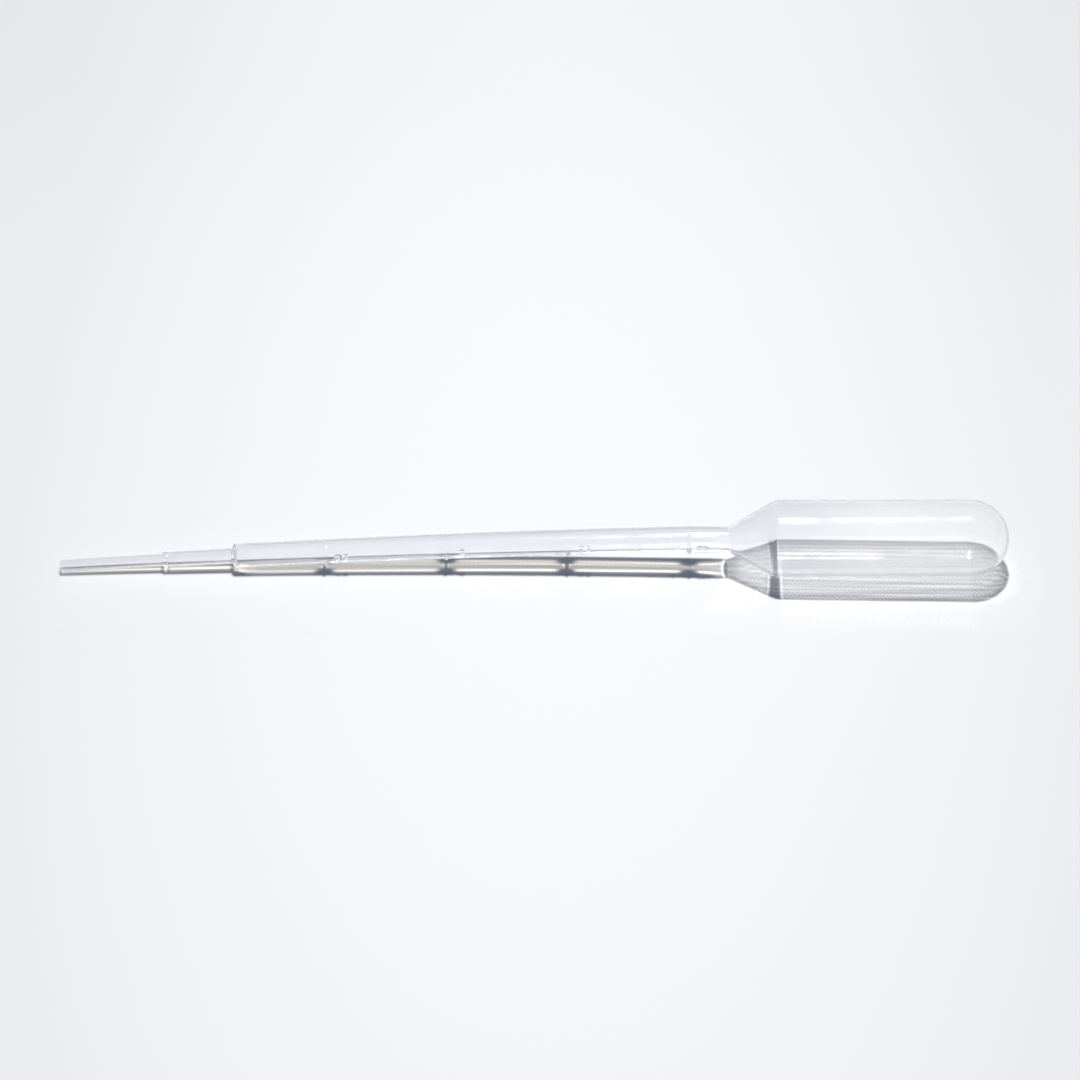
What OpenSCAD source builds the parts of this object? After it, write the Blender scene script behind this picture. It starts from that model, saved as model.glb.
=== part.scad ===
// Graduated dropper pipette, blown in one piece from soft clear plastic.
// It lies as it comes to rest, on its shoulder and on the rim of its tip, and its stem is a
// little bent. +X runs along it to the bulb, +Z is up, and z = 0 is the surface it lies on.
// Places along it are distances s from the end of the tip, measured along its own axis.

/* [Bulb] */
// Outer diameter of the bulb
bulb_d = 12.8; // [10:0.1:16]
// Length of the bulb, from the shoulder to its round end
bulb_l = 38; // [30:0.5:50]
// Wall of the bulb
bulb_wall = 0.35; // [0.2:0.05:0.8]
// Length of the cone between the stem and the bulb
cone_l = 7.5; // [5:0.1:12]
// Radius that blends the cone into the bulb
shoulder_r = 3; // [1.5:0.1:4]
// How much thicker the wall is underneath, at the bulb's round end, than halfway up
thick_low = 0.1; // [0:0.01:0.12]
// How much thicker it is there on the side that carries the scale
thick_side = 0.06; // [0:0.01:0.12]

/* [Stem] */
// Length of the stem, from the step at its lower end to the cone
stem_l = 81.3; // [66:0.1:100]
// Outer diameter of the stem where the cone starts
stem_top_d = 4.36; // [3.6:0.02:5.4]
// Outer diameter of the stem above the step
stem_low_d = 4.02; // [3.3:0.02:4.9]
// Wall of the stem
stem_wall = 0.55; // [0.3:0.01:0.7]
// Round of the step at the stem's lower end
step_r = 0.6; // [0.3:0.05:0.7]

/* [Nose and tip] */
// Length of the nose, the thinner part below the stem
nose_l = 11.45; // [8:0.05:16]
// Outer diameter of the nose
nose_d = 2.58; // [2.3:0.02:2.9]
// Wall of the nose
nose_wall = 0.55; // [0.4:0.01:0.65]
// Length of the tip
tip_l = 16.85; // [12:0.05:22]
// Outer diameter of the tip
tip_d = 2.12; // [1.7:0.02:2.5]
// Diameter of the bore through the tip
tip_bore = 1.12; // [0.8:0.02:1.34]

/* [Scale] */
// Number of marks
mark_count = 4; // [1:1:4]
// Distance from one mark to the next
mark_pitch = 19.87; // [12:0.01:24]
// Distance from the top mark to the cone
mark_gap = 6.5; // [3:0.1:8]
// Width of a mark along the stem
mark_w = 0.65; // [0.4:0.05:1]
// Height of a mark above the stem
mark_h = 0.2; // [0.08:0.01:0.3]
// How far a mark runs round the stem, in degrees
mark_arc = 140; // [60:5:180]
// How far the middle of the marks is turned up from level, in degrees
mark_turn = 5; // [-30:5:60]
// Faint band that carries on each mark round the rest of the stem, proud outside and sunk inside
band_h = 0.04; // [0.03:0.01:0.06]

/* [Bends] */
// Sideways bend of the stem, from the top mark to the tip, in degrees
bow = 3.5; // [0:0.1:5]
// Bend of the stem down from the bulb's axis at the top mark, in degrees
droop = 1.5; // [0:0.1:3]

/* [Hidden] */
$fn = 96;

bulb_r = bulb_d / 2;
tip_r = tip_d / 2;
nose_r = nose_d / 2;
tip_s = tip_l;                        // top of the tip, where the nose starts
nose_s = tip_s + nose_l;              // top of the nose, where the stem starts
cone_s = nose_s + stem_l;             // top of the stem, where the cone starts
bulb_s = cone_s + cone_l;             // top of the cone, where the bulb starts
dome_s = bulb_s + bulb_l - bulb_r;    // centre of the bulb's round end
lap = 0.3;                            // how far a thinner part runs on inside a thicker one
past = 1;                             // how far a cut runs on past an open end
edge_r = 0.2;                         // round of the step between the nose and the tip
funnel_l = 0.4;                       // how long the bore takes to widen from the tip's to the nose's

// The axis is straight from the bulb down to the top mark, and turns a little at each station.
stations = concat([for (k = [0 : mark_count - 1]) cone_s - mark_gap - k * mark_pitch],
                  [nose_s, 0]);
last = len(stations) - 2;             // the stretch that holds the nose and the tip
top_s = stations[0];

function middle(i) = (stations[i] + stations[i + 1]) / 2;
function stretch_l(i) = stations[i] - stations[i + 1];
function yaw(i) = bow * (top_s - middle(i)) / top_s;
function heading(i) = [cos(rise + droop) * cos(yaw(i)), cos(rise + droop) * sin(yaw(i)), sin(rise + droop)];
function place(i) = i == 0 ? [0, 0, 0] : place(i - 1) - stretch_l(i - 1) * heading(i - 1);
function stem_r(s) = (stem_low_d + (stem_top_d - stem_low_d) * (s - nose_s) / stem_l) / 2;

// The arc that blends the cone into the bulb: how far it reaches each way, and where its centre is.
function cone_angle(r_low, r_high) = atan((r_high - r_low) / cone_l);
function blend_reach(r, angle) = r * tan(angle / 2);
blend_s = bulb_s + blend_reach(shoulder_r, cone_angle(stem_r(cone_s), bulb_r));

// How far the bulb's axis rises from level when the shoulder and the tip's rim both touch down.
rise = settled(0, 5);
function shoulder_low(p) = (blend_s - top_s) * sin(p) - (bulb_r - shoulder_r) * cos(p) - shoulder_r;
function tip_low(p) = -top_s * sin(p + droop) - tip_r * cos(p + droop);
function settled(p, tries) =
    tries == 0 ? p : settled(p - (shoulder_low(p) - tip_low(p)) / (blend_s * PI / 180), tries - 1);

// Where the top mark stands, so that the whole is centred over the origin and rests on z = 0.
end_x = (dome_s - top_s) * cos(rise) + bulb_r;
rim_x = place(last + 1)[0] - tip_r * sqrt(1 - pow(heading(last)[0], 2));
home = [-(end_x + rim_x) / 2, 0, -shoulder_low(rise)];

// Puts a shape turned about Z, at its own s along Z, on the axis above the top mark. The shape may
// lean off that axis, by so much up and to the side at the middle of the bulb's round end.
module on_bulb_axis(up = 0, side = 0) {
    reach = dome_s - top_s;
    translate(home) rotate([0, -rise - asin(up / reach), asin(side / reach)]) rotate([0, 90, 0])
        translate([0, 0, -top_s]) children();
}

// The same for the stretch of axis below station i.
module on_stretch(i) {
    translate(home + place(i)) rotate([0, -rise - droop, yaw(i)]) rotate([0, 90, 0])
        translate([0, 0, -stations[i]]) children();
}

// Half outline of the cone and bulb, thinner by a wall at the stem and at the bulb.
module bulb_outline(neck_wall, wall) {
    low_r = stem_r(cone_s) - neck_wall;
    high_r = bulb_r - wall;
    r = shoulder_r - wall;
    angle = cone_angle(low_r, high_r);
    reach = blend_reach(r, angle);
    polygon([
        [0, top_s + mark_w / 4],
        [stem_r(top_s + mark_w / 4) - neck_wall, top_s + mark_w / 4],
        [low_r, cone_s],
        [high_r - reach * sin(angle), bulb_s - reach * cos(angle)],
        [high_r, bulb_s + reach],
        [high_r, dome_s],
        [0, dome_s]
    ]);
    translate([high_r - r, bulb_s + reach]) circle(r);
    intersection() {
        translate([0, dome_s]) circle(high_r);
        translate([0, dome_s]) square(high_r);
    }
}

// One tapered stretch of the stem between two marks.
module stem_stretch(i, wall) {
    low_s = stations[i + 1] + mark_w / 4;
    high_s = stations[i] - mark_w / 4;
    translate([0, 0, low_s])
        cylinder(h = high_s - low_s, r1 = stem_r(low_s) - wall, r2 = stem_r(high_s) - wall);
}

// Half outline of the stretch of stem above the step, whose lower edge is round.
module low_outline(wall) {
    high_s = stations[mark_count - 1] - mark_w / 4;
    low_s = nose_s + wall;
    r = step_r - wall / 2;
    low_r = stem_r(low_s + r) - wall;
    polygon([
        [0, low_s],
        [low_r - r, low_s],
        [low_r, low_s + r],
        [stem_r(high_s) - wall, high_s],
        [0, high_s]
    ]);
    translate([low_r - r, low_s + r]) circle(r);
}

// The band under a mark, which is a shallow groove in the bore as well.
module band(s, wall) {
    translate([0, 0, s - mark_w / 2]) cylinder(h = mark_w, r = stem_r(s) - wall + band_h);
}

// A mark: a round-topped ridge over part of the stem's circumference, facing -Y.
module mark(s) {
    rotate_extrude(angle = mark_arc, start = 270 - mark_turn - mark_arc / 2)
        translate([stem_r(s) + mark_h - mark_w / 2, s]) circle(mark_w / 2);
}

// Half outline of the nose and the tip, with a round edge at the step between them.
module nose_outline() {
    polygon([
        [0, 0],
        [tip_r, 0],
        [tip_r, tip_s],
        [nose_r - edge_r, tip_s],
        [nose_r, tip_s + edge_r],
        [nose_r, nose_s + lap],
        [0, nose_s + lap]
    ]);
    translate([nose_r - edge_r, tip_s + edge_r]) circle(edge_r);
}

// Half outline of the bore through them, which starts outside the tip's open end.
module bore_outline() {
    funnel_s = tip_s + nose_wall;
    polygon([
        [0, -past],
        [tip_bore / 2, -past],
        [tip_bore / 2, funnel_s],
        [nose_r - nose_wall, funnel_s + funnel_l],
        [nose_r - nose_wall, nose_s + stem_wall + lap],
        [0, nose_s + stem_wall + lap]
    ]);
}

// All that the plastic would fill if it were solid, from the bulb down to the tip.
module body() {
    on_bulb_axis() rotate_extrude() bulb_outline(0, 0);
    for (k = [0 : mark_count - 1]) on_stretch(k) {
        band(stations[k], 0);
        mark(stations[k]);
    }
    for (k = [0 : 1 : mark_count - 2]) on_stretch(k) stem_stretch(k, 0);
    on_stretch(mark_count - 1) rotate_extrude() low_outline(0);
    on_stretch(last) rotate_extrude() nose_outline();
}

// The air inside, open at the end of the tip.
module cavity() {
    on_bulb_axis(thick_low, thick_side) rotate_extrude() bulb_outline(stem_wall, bulb_wall);
    for (k = [0 : mark_count - 1]) on_stretch(k) band(stations[k], stem_wall);
    for (k = [0 : 1 : mark_count - 2]) on_stretch(k) stem_stretch(k, stem_wall);
    on_stretch(mark_count - 1) rotate_extrude() low_outline(stem_wall);
    on_stretch(last) rotate_extrude() bore_outline();
}

module pipette() {
    color([0.9, 0.94, 0.97, 0.55]) difference() {
        body();
        cavity();
    }
}

pipette();
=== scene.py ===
"""Graduated dropper pipette: one thin clear wall, blown in one piece, lying on a white table."""

from __future__ import annotations

import logging
import math
from dataclasses import dataclass, field, replace

import bpy
import numpy as np
from mathutils import Matrix, Vector
from mathutils.bvhtree import BVHTree

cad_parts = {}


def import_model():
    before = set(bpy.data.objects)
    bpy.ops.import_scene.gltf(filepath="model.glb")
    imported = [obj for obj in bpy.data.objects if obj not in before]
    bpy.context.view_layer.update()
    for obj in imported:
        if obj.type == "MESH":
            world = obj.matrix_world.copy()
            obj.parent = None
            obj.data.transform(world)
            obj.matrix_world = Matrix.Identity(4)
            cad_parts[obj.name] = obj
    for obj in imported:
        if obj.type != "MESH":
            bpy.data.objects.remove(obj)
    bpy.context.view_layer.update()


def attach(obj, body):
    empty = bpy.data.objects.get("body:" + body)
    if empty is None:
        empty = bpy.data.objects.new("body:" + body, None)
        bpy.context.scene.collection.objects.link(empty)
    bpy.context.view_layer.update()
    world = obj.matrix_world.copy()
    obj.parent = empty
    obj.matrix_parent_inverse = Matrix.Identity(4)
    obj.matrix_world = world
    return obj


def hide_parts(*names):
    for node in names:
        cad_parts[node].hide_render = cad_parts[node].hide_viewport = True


MM = 0.001
MATH = "ShaderNodeMath"
VECTOR = "ShaderNodeVectorMath"
RANGE = "ShaderNodeMapRange"
NOISE = "ShaderNodeTexNoise"
STUDIO_WHITE = "#F6F8FB"
STUDIO_STRENGTH = 0.78
LOG = logging.getLogger("pipette")

Pair = tuple[float, float]
Triple = tuple[float, float, float]


def linear(colour: str) -> tuple[float, float, float, float]:
    """Turns an sRGB hex colour into the linear values that a shader takes.

    Args:
        colour: Six hex digits after a #.

    Returns:
        Red, green, blue and alpha, linear.
    """
    parts = [int(colour[i : i + 2], 16) / 255 for i in (1, 3, 5)]
    red, green, blue = [c / 12.92 if c <= 0.04045 else ((c + 0.055) / 1.055) ** 2.4 for c in parts]
    return red, green, blue, 1.0


def add_node(
    tree: bpy.types.NodeTree,
    kind: str,
    inputs: dict[str | int, object] | tuple[object, ...] = (),
    **settings: object,
) -> bpy.types.Node:
    """Adds a node, sets its properties, and fills or links its inputs.

    Args:
        tree: The node tree that takes it.
        kind: The node's type.
        inputs: Values or sockets, in order or by name. A node stands for its first output.
        settings: Properties of the node, by name.

    Returns:
        The new node.
    """
    made = tree.nodes.new(kind)
    for name, value in settings.items():
        setattr(made, name, value)
    named = inputs if isinstance(inputs, dict) else dict(enumerate(inputs))
    for key, value in named.items():
        if isinstance(value, bpy.types.Node):
            value = value.outputs[0]
        if isinstance(value, bpy.types.NodeSocket):
            tree.links.new(value, made.inputs[key])
        else:
            made.inputs[key].default_value = value
    return made


@dataclass
class Axis:
    """The line through the middle of the pipette, from the end of the tip to the bulb's round end.

    It is straight through the bulb and cone down to the top mark, and below that the stem droops a
    little and is bent to one side.
    """

    rise_deg: float = 1.2847
    droop_deg: float = 1.5
    bow_deg: float = 3.5
    top_mark: Triple = (25.5012, 0.0, 6.0676)
    top_s: float = 103.1
    length: float = 155.1
    step: float = 0.5

    def way(self, s: float) -> Vector:
        """Gives the axis's direction, towards the bulb.

        Args:
            s: Distance from the end of the tip, in mm.

        Returns:
            A unit vector.
        """
        below = s < self.top_s
        rise = math.radians(self.rise_deg + (self.droop_deg if below else 0))
        yaw = math.radians(self.bow_deg) * (self.top_s - s) / self.top_s if below else 0.0
        return Vector((math.cos(rise) * math.cos(yaw), math.cos(rise) * math.sin(yaw), math.sin(rise)))

    def points(self) -> list[Vector]:
        """Lists the axis's points from the tip's end up, a step apart.

        Returns:
            Points in mm.
        """
        low = [Vector(self.top_mark)]
        steps = round(self.top_s / self.step)
        gap = self.top_s / steps
        for k in range(steps):
            low.append(low[-1] - gap * self.way(self.top_s - (k + 0.5) * gap))
        low.reverse()
        rest = self.length - self.top_s
        steps = round(rest / self.step)
        way = self.way(self.length)
        high = [Vector(self.top_mark) + rest * k / steps * way for k in range(1, steps + 1)]
        return low + high

    def place(self, s: float) -> Vector:
        """Gives the axis's point nearest to a distance from the end of the tip.

        Args:
            s: The distance, in mm.

        Returns:
            A point in mm.
        """
        points = self.points()
        return points[round(s / self.length * (len(points) - 1))]

    def build(self) -> bpy.types.Object:
        """Makes the axis as a curve that the wall follows.

        Returns:
            The curve object.
        """
        curve = bpy.data.curves.new("axis", "CURVE")
        curve.dimensions = "3D"
        spline = curve.splines.new("POLY")
        points = self.points()
        spline.points.add(len(points) - 1)
        for target, point in zip(spline.points, points):
            target.co = (*(point * MM), 1.0)
        made = bpy.data.objects.new("axis", curve)
        bpy.context.collection.objects.link(made)
        return made


@dataclass(frozen=True)
class Label:
    """A raised number beside a mark of the scale, and how far it stands from the mark."""

    text: str
    mark: int
    shift: float


@dataclass
class Scale:
    """The moulded scale: marks, the faint band that carries each one round, and raised numbers.

    Reach and room are how far beside each of them the wall's rings stand close together, and gap is
    how close. Half a digit is digit_half of its size wide.
    """

    count: int = 4
    pitch: float = 19.87
    mark_width: float = 0.76
    mark_height: float = 0.2
    mark_reach: float = 0.5
    mark_gap: float = 0.055
    arc_deg: float = 140.0
    arc_end_deg: float = 9.0
    turn_deg: float = 5.0
    band_width: float = 0.65
    band_height: float = 0.07
    band_gap: float = 0.08
    band_rows: int = 5
    digit_size: float = 2.3
    digit_height: float = 0.13
    digit_edge: float = 0.12
    digit_half: float = 0.36
    digit_room: float = 0.2
    digit_gap: float = 0.11
    labels: tuple[Label, ...] = (
        Label("1", 0, -2.6),
        Label("ml", 0, 2.4),
        Label(".75", 1, 2.6),
        Label(".5", 2, 2.4),
        Label(".25", 3, 2.6),
    )

    def marks(self, top_s: float) -> list[float]:
        """Lists the marks' distances from the tip's end, down from the top one."""
        return [top_s - k * self.pitch for k in range(self.count)]

    def spans(self, top_s: float) -> list[Triple]:
        """Lists the stretches of the stem whose rings stand close together.

        Args:
            top_s: How far the top mark is from the tip's end.

        Returns:
            Where each one starts and ends, and its rings' gap, in mm.
        """
        marks = self.marks(top_s)
        spans = [(at - self.mark_reach, at + self.mark_reach, self.mark_gap) for at in marks]
        for label in self.labels:
            at = marks[label.mark] + label.shift
            reach = self.digit_half * self.digit_size * len(label.text) + self.digit_room
            spans.append((at - reach, at + reach, self.digit_gap))
        return spans


@dataclass(frozen=True)
class Waves:
    """Shallow waves in the wall, so high in mm.

    Rate is how many there are to a millimetre round the stem, and stretch is how many times longer
    they are along it.
    """

    name: str
    rate: float
    stretch: float
    height: float
    seed: float
    inner_only: bool


@dataclass(frozen=True)
class ThickRing:
    """A ring of the wall whose thick plastic darkens the lamp's shadow painted on the board: a mark of the
    scale, or the shoulder.

    It stands at x and round y, reaches so far along each way, and leaves a gap over its middle whose
    edges are soft.
    """

    reach: float
    gap: float
    density: float
    edge: float = 0.4
    x: float = 0.0
    y: float = 0.0

    def thickness(self, places: np.ndarray) -> np.ndarray:
        """Gives how strongly the ring acts at places on the wall.

        Args:
            places: Points in mm.

        Returns:
            Density per mm, 0 away from the ring.
        """
        along = np.exp(-(((places[:, 0] - self.x) / self.reach) ** 2))
        aside = np.clip((np.abs(places[:, 1] - self.y) - self.gap) / self.edge, 0, 1)
        return self.density * along * aside


@dataclass
class Wall:
    """The pipette itself: a bulb, a cone, a tapered stem, a nose and a tip, all one wall."""

    axis: Axis = field(default_factory=Axis)
    scale: Scale = field(default_factory=Scale)
    bulb_d: float = 12.8
    bulb_l: float = 38.0
    bulb_wall: float = 0.35
    cone_l: float = 7.5
    shoulder_r: float = 3.0
    shoulder_in_r: float = 2.1
    neck_r: float = 1.0
    thick_low: float = 0.1
    thick_side: float = 0.06
    stem_l: float = 81.3
    stem_top_d: float = 4.36
    stem_low_d: float = 4.02
    stem_wall: float = 0.55
    step_r: float = 0.6
    nose_l: float = 11.45
    nose_d: float = 2.58
    nose_wall: float = 0.55
    edge_r: float = 0.2
    fillet_r: float = 0.12
    floor_r: float = 0.1
    bead_w: float = 0.7
    bead_h: float = 0.05
    tip_l: float = 16.85
    tip_d: float = 2.12
    tip_bore: float = 1.12
    rim_r: float = 0.12
    funnel_l: float = 0.4

    # How far the bore is from round, as shares of its radius, and over what length that comes and goes.
    oval: float = 0.12
    tip_oval: float = 0.26
    square: float = 0.02
    oval_stop: float = 2.0
    oval_blend: float = 3.0

    # Blowing leaves long shallow waves in the inner face, the die finer lines along it, and both sway.
    waves: tuple[Waves, ...] = (
        Waves("Ripple", rate=0.45, stretch=9.0, height=0.014, seed=3.7, inner_only=True),
        Waves("Die Lines", rate=0.5, stretch=30.0, height=0.045, seed=41.0, inner_only=True),
        Waves("Sway", rate=0.4, stretch=14.0, height=0.035, seed=77.0, inner_only=False),
    )
    # They fade out within this radius at the bulb's round end.
    pole_r: float = 0.5

    # How the thick plastic at the marks and at the shoulder darkens the lamp's shadow painted on the
    # board.
    mark_ring: ThickRing = ThickRing(reach=1.0, gap=0.6, density=7.0)
    shoulder_ring: ThickRing = ThickRing(reach=0.8, gap=0.0, density=1.2)

    # How the rings are spaced: round the wall, beside a corner, and along each plain stretch.
    facets: int = 144
    corner_gap: float = 0.06
    bulb_gap: float = 1.0
    cone_gap: float = 0.8
    neck_gap: float = 0.3
    stem_gap: float = 2.0
    step_gap: float = 0.05
    least_gap: float = 0.02
    nose_gap: float = 1.2
    tip_gap: float = 1.4
    bead_gap: float = 0.1
    bead_reach: float = 1.2
    funnel_gap: float = 0.15
    bore_gaps: int = 38
    merge_gap: float = 0.0004

    @property
    def nose_s(self) -> float:
        """Where the nose ends and the stem starts."""
        return self.tip_l + self.nose_l

    @property
    def cone_s(self) -> float:
        """Where the stem ends and the cone starts."""
        return self.nose_s + self.stem_l

    @property
    def bulb_s(self) -> float:
        """Where the cone ends and the bulb starts."""
        return self.cone_s + self.cone_l

    @property
    def dome_s(self) -> float:
        """The centre of the bulb's round end."""
        return self.bulb_s + self.bulb_l - self.bulb_d / 2

    def stem_radius(self, s: float) -> float:
        """Gives the stem's outer radius at a place, marks apart."""
        share = (s - self.nose_s) / self.stem_l
        return (self.stem_low_d + (self.stem_top_d - self.stem_low_d) * share) / 2

    @staticmethod
    def arc(centre: Pair, bend: float, start: float, end: float, steps: int) -> list[Pair]:
        """Lists points on a round of the outline.

        Args:
            centre: Where the arc's centre is along the axis, and how far from it.
            bend: The arc's own radius.
            start: Angle of its first point, in degrees from the way to the bulb.
            end: Angle of its last point.
            steps: How many parts it is cut into.

        Returns:
            Pairs of distance along and radius, in mm.
        """
        turns = [math.radians(start + (end - start) * k / steps) for k in range(steps + 1)]
        return [(centre[0] + bend * math.cos(t), centre[1] + bend * math.sin(t)) for t in turns]

    def straight(self, start: Pair, end: Pair, gap: float) -> list[Pair]:
        """Lists points between two corners, with one close to each corner so that it shades flat.

        Args:
            start: Distance along and radius where it starts. This point isn't repeated.
            end: The same where it ends. This point isn't repeated.
            gap: About how far apart the points are, in mm.

        Returns:
            Pairs of distance along and radius, in mm.
        """
        length = math.dist(start, end)
        guard = min(self.corner_gap, length / 4) / length
        steps = max(1, round(length / gap))
        shares = sorted({guard, 1 - guard, *[k / steps for k in range(1, steps)]})
        shares = [a for a, b in zip(shares, shares[1:] + [2.0]) if b - a > 1e-6]
        return [(start[0] + (end[0] - start[0]) * t, start[1] + (end[1] - start[1]) * t) for t in shares]

    def bulb_face(self, thin: float, neck: float, tight: float) -> list[Pair]:
        """Outlines the bulb, shoulder and cone on one face of the wall, from the bulb's end down.

        Args:
            thin: How far the face is inside the bulb's outer one.
            neck: How far it is inside the stem's outer face.
            tight: Radius of the concave round where the cone meets the stem.

        Returns:
            Pairs of distance along and radius, in mm.
        """
        high = self.bulb_d / 2 - thin
        low = self.stem_radius(self.cone_s) - neck
        slope = math.degrees(math.atan((high - low) / self.cone_l))
        round_r = self.shoulder_r if thin == 0 else self.shoulder_in_r
        reach = round_r * math.tan(math.radians(slope / 2))
        dome = self.arc((self.dome_s, 0), high, 0, 90, steps=30)
        dome[0] = (dome[0][0], 0.0)
        shoulder = self.arc((self.bulb_s + reach, high - round_r), round_r, 90, 90 + slope, steps=10)
        back = tight * math.tan(math.radians(slope / 2))
        neck_arc = self.arc((self.cone_s - back, low + tight), tight, slope - 90, -90, steps=8)
        side = self.straight(dome[-1], shoulder[0], self.bulb_gap)
        cone = self.straight(shoulder[-1], neck_arc[0], self.cone_gap)
        return dome + side + shoulder + cone + neck_arc

    def stem_places(self, high: float, low: float) -> list[float]:
        """Lists where the stem's rings stand: close together at marks and numbers, apart elsewhere.

        Args:
            high: Where the stretch starts, nearest the bulb.
            low: Where it ends.

        Returns:
            Distances from the tip's end, falling, in mm.
        """
        places = {high, low, high - self.corner_gap, low + self.corner_gap}
        steps = round((high - low) / self.stem_gap)
        places.update(low + (high - low) * k / steps for k in range(steps + 1))
        for start, end, gap in self.scale.spans(self.axis.top_s):
            steps = round((end - start) / gap)
            inner = {round(start + (end - start) * k / steps, 4) for k in range(steps + 1)}
            places = {p for p in places if not start < p < end} | inner
        ordered = sorted(places, reverse=True)
        gaps = [a - b for a, b in zip(ordered, ordered[1:] + [-math.inf])]
        return [s for s, gap in zip(ordered, gaps) if gap > self.least_gap or s == low]

    def outer_face(self) -> list[Pair]:
        """Outlines the outer face, from the bulb's round end down to the tip's rim.

        Returns:
            Pairs of distance along and radius, in mm.
        """
        nose_r, tip_r = self.nose_d / 2, self.tip_d / 2
        face = self.bulb_face(0, 0, self.neck_r)
        low_r = self.stem_radius(self.nose_s) - self.step_r
        step = self.arc((self.nose_s + self.step_r, low_r), self.step_r, 90, 180, steps=8)
        places = self.stem_places(face[-1][0] - self.neck_gap, step[0][0] + self.step_gap)
        face += [(s, self.stem_radius(s)) for s in places] + step
        fillet = self.fillet_r
        face += self.arc((self.nose_s - fillet, nose_r + fillet), fillet, 0, -90, steps=4)
        edge = self.arc((self.tip_l + self.edge_r, nose_r - self.edge_r), self.edge_r, 90, 180, steps=6)
        bead = (self.tip_l + self.bead_reach, nose_r)
        face += self.straight(face[-1], bead, self.nose_gap)
        face += self.straight(bead, edge[0], self.bead_gap) + edge
        fillet = min(fillet, nose_r - self.edge_r - tip_r)
        face += self.arc((self.tip_l - fillet, tip_r + fillet), fillet, 0, -90, steps=3)
        rim = self.arc((self.rim_r, tip_r - self.rim_r), self.rim_r, 90, 180, steps=6)
        return face + self.straight(face[-1], rim[0], self.tip_gap) + rim

    def inner_face(self) -> list[Pair]:
        """Outlines the inner face, from the tip's rim back up to the bulb's round end.

        Returns:
            Pairs of distance along and radius, in mm.
        """
        bore_r, nose_r = self.tip_bore / 2, self.nose_d / 2 - self.nose_wall
        face = self.arc((self.rim_r, bore_r + self.rim_r), self.rim_r, 180, 270, steps=5)
        funnel = (self.tip_l + self.nose_wall, bore_r)
        nose = (funnel[0] + self.funnel_l, nose_r)
        floor_s = self.nose_s + self.stem_wall
        floor = (floor_s - self.floor_r, nose_r)
        face += self.straight(face[-1], funnel, self.tip_gap) + [funnel]
        face += self.straight(funnel, nose, self.funnel_gap) + [nose]
        face += self.straight(nose, floor, self.tip_gap)
        face += self.arc((floor[0], nose_r + self.floor_r), self.floor_r, -90, 0, steps=4)
        low_r = self.stem_radius(floor_s) - self.stem_wall
        round_r = self.step_r - self.stem_wall / 2
        face += self.arc((floor_s + round_r, low_r - round_r), round_r, 180, 90, steps=6)
        upper = self.bulb_face(self.bulb_wall, self.stem_wall, self.neck_r + self.stem_wall)[::-1]
        low, high = face[-1][0] + self.floor_r, upper[0][0] - self.neck_gap
        marks = self.scale.marks(self.axis.top_s)
        places = {low + (high - low) * k / self.bore_gaps for k in range(self.bore_gaps + 1)}
        places = {p for p in places if all(abs(p - mark) > self.scale.mark_reach for mark in marks)}
        rows = range(-self.scale.band_rows, self.scale.band_rows + 1)
        places |= {mark + k * self.scale.band_gap for mark in marks for k in rows}
        return face + [(s, self.stem_radius(s) - self.stem_wall) for s in sorted(places)] + upper

    def thick_rings(self) -> list[ThickRing]:
        """Lists the rings where the wall is thick enough to darken the lamp's shadow painted on the board.

        Returns:
            A ring for each mark, and one for the shoulder.
        """
        middles = [self.axis.place(s) for s in self.scale.marks(self.axis.top_s)]
        rings = [replace(self.mark_ring, x=at.x, y=at.y) for at in middles]
        return [*rings, replace(self.shoulder_ring, x=self.axis.place(self.bulb_s).x)]

    def outline(self) -> bpy.types.Object:
        """Makes a line with a point for each ring, down the outer face and back up the inner one.

        Returns:
            The line, whose points carry the distance s from the tip's end, radius and inside.
        """
        outer, inner = self.outer_face(), self.inner_face()
        points = [(s * MM, radius * MM, 0.0) for s, radius in outer + inner]
        mesh = bpy.data.meshes.new("outline")
        mesh.from_pydata(points, [(i, i + 1) for i in range(len(points) - 1)], [])
        for name, values in (
            ("s", [point[0] for point in points]),
            ("radius", [point[1] for point in points]),
            ("inside", [0.0] * len(outer) + [1.0] * len(inner)),
        ):
            mesh.attributes.new(name, "FLOAT", "POINT").data.foreach_set("value", values)
        made = bpy.data.objects.new("outline", mesh)
        bpy.context.collection.objects.link(made)
        LOG.info("outline: %d rings", len(points))
        return made

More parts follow.
